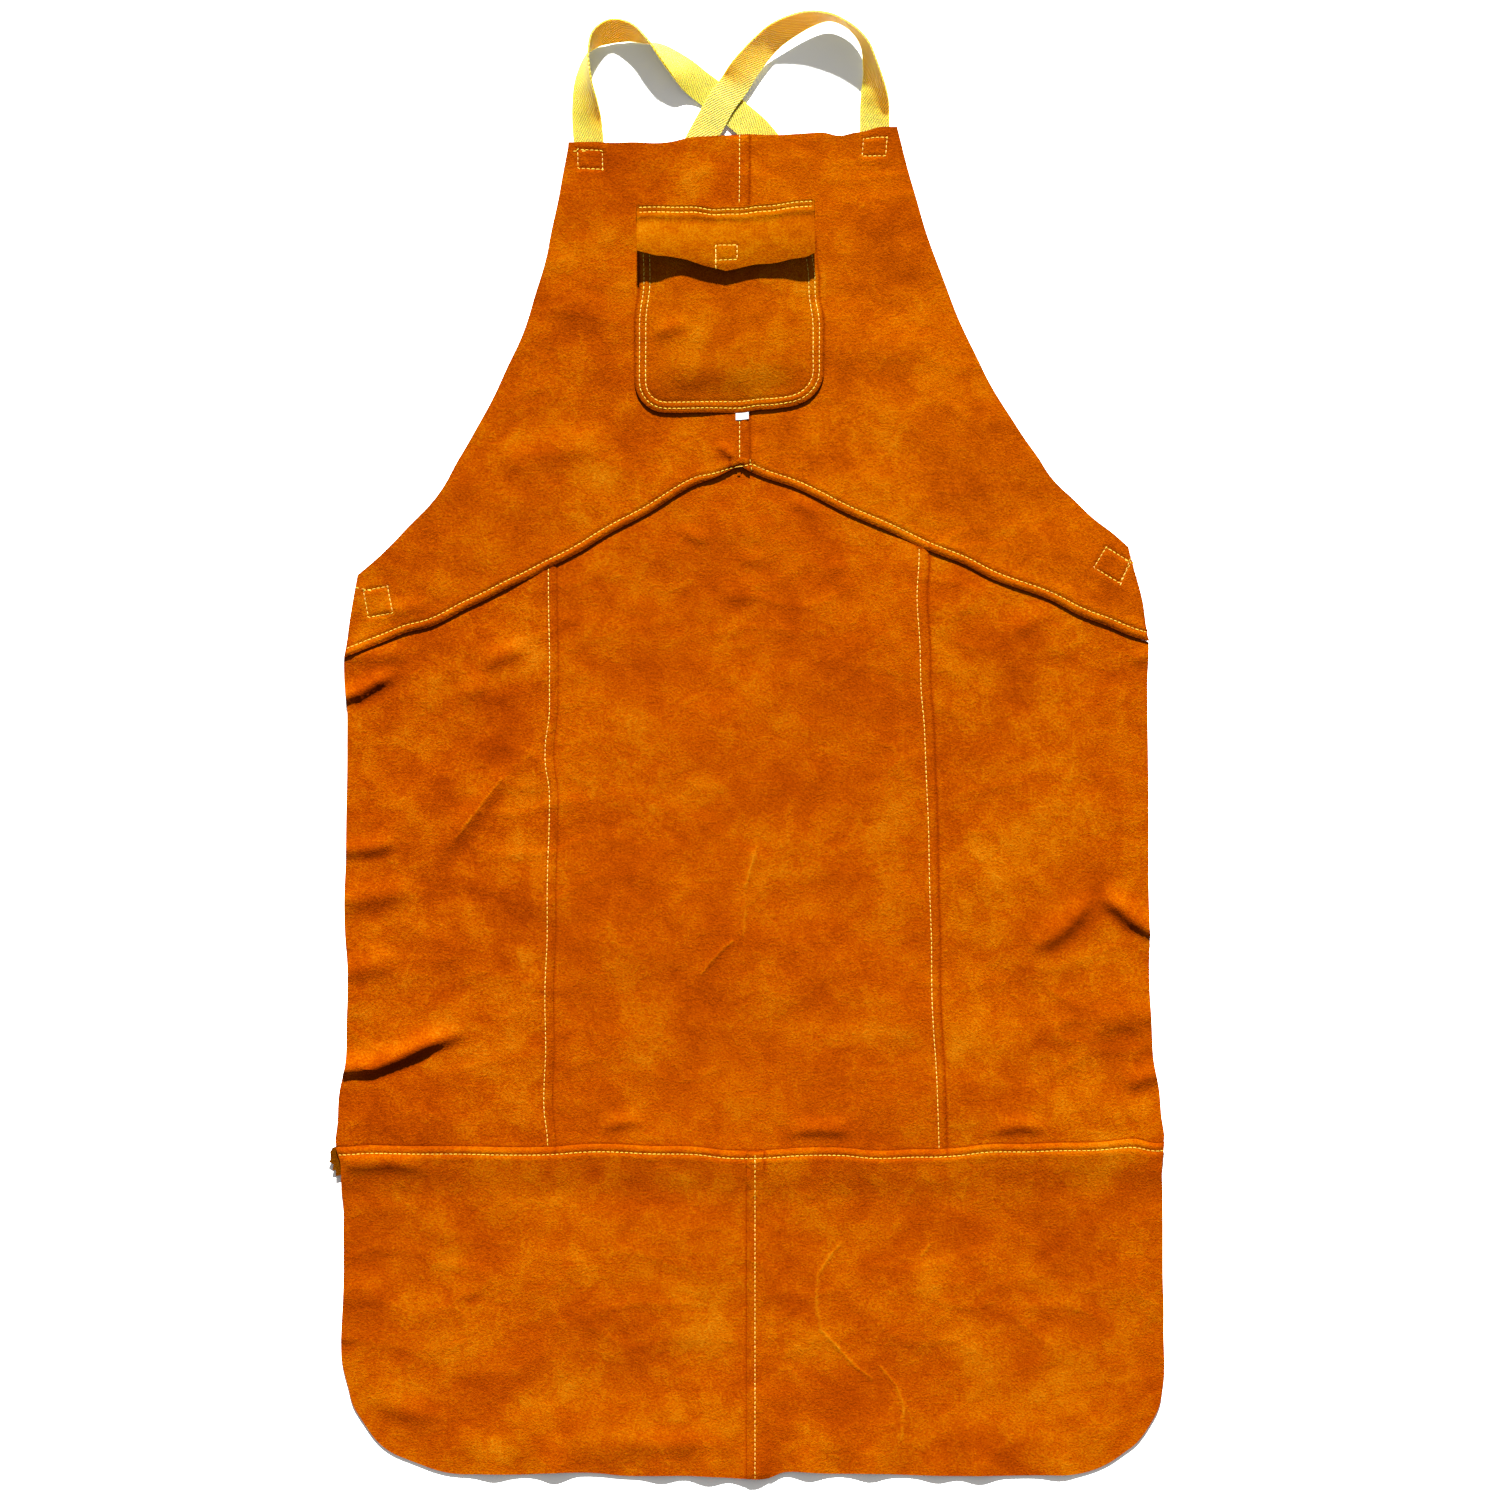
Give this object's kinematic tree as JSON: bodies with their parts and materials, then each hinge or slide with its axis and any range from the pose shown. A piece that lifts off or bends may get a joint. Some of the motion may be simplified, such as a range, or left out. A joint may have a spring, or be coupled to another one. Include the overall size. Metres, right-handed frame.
{
  "type": "welding apron",
  "caption": "Full-length leather welding apron laid flat: bib with armhole cuts, flapped chest pocket, lapped skirt and hem panels, crossed webbing shoulder straps.",
  "frame": {"origin": "on the surface that the apron lies on, under the middle of the centre skirt panel", "axes": "+X to the viewer's right across the apron, +Y from the hem up to the bib, +Z out of the front face"},
  "size_m": [0.694, 1.2359, 0.0317],
  "materials": {
    "leather": "napped suede of split cowhide, matt",
    "webbing": "woven twill polyester webbing",
    "thread": "twisted sewing thread",
    "hook_tape": "hook-and-loop tape",
    "label": "woven satin label, blank"
  },
  "bodies": {
    "apron": {"bib_panel_left": "leather", "bib_panel_right": "leather", "skirt_panel_left": "leather", "skirt_panel_centre": "leather", "skirt_panel_right": "leather", "hem_panel_left": "leather", "hem_panel_right": "leather", "pocket_pouch": "leather", "pocket_flap_band": "leather", "shoulder_strap_left_tab": "webbing", "shoulder_strap_left_back_run": "webbing", "shoulder_strap_right_tab": "webbing", "shoulder_strap_right_back_run": "webbing", "pocket_loop_patch": "hook_tape", "bib_centre_stitch_lower": "thread", "bib_centre_stitch_upper": "thread", "flap_stitch_lower": "thread", "flap_stitch_upper": "thread", "hem_centre_stitch": "thread", "hem_seam_stitch_left": "thread", "hem_seam_stitch_right": "thread", "pocket_stitch_inner": "thread", "pocket_stitch_outer": "thread", "shoulder_stitch_left": "thread", "shoulder_stitch_right": "thread", "skirt_seam_stitch_left": "thread", "skirt_seam_stitch_right": "thread", "waist_seam_stitch_left": "thread", "waist_seam_stitch_right": "thread", "waist_stitch_left": "thread", "waist_stitch_right": "thread"},
    "pocket_flap": {"pocket_flap": "leather", "flap_hook_patch": "hook_tape", "flap_patch_stitch": "thread"},
    "shoulder_straps": {"shoulder_strap_left_loop": "webbing", "shoulder_strap_right_loop": "webbing"},
    "size_label": {"size_label": "label"}
  },
  "joints": [
    {"name": "flap_fold", "type": "hinge", "parent": "apron", "child": "pocket_flap", "pos_m": [-0.0191, 0.50223, 0.009], "axis": [-0.9994, -0.036, 0], "range_deg": [0, 135]},
    {"name": "strap_fold", "type": "hinge", "parent": "apron", "child": "shoulder_straps", "pos_m": [-0.01462, 0.574, 0.0023], "axis": [0.9988, 0.0484, 0], "range_deg": [0, 105]},
    {"name": "label_fold", "type": "hinge", "parent": "apron", "child": "size_label", "pos_m": [-0.0058, 0.3332, 0.007], "axis": [-1, 0, 0], "range_deg": [0, 90]}
  ]
}
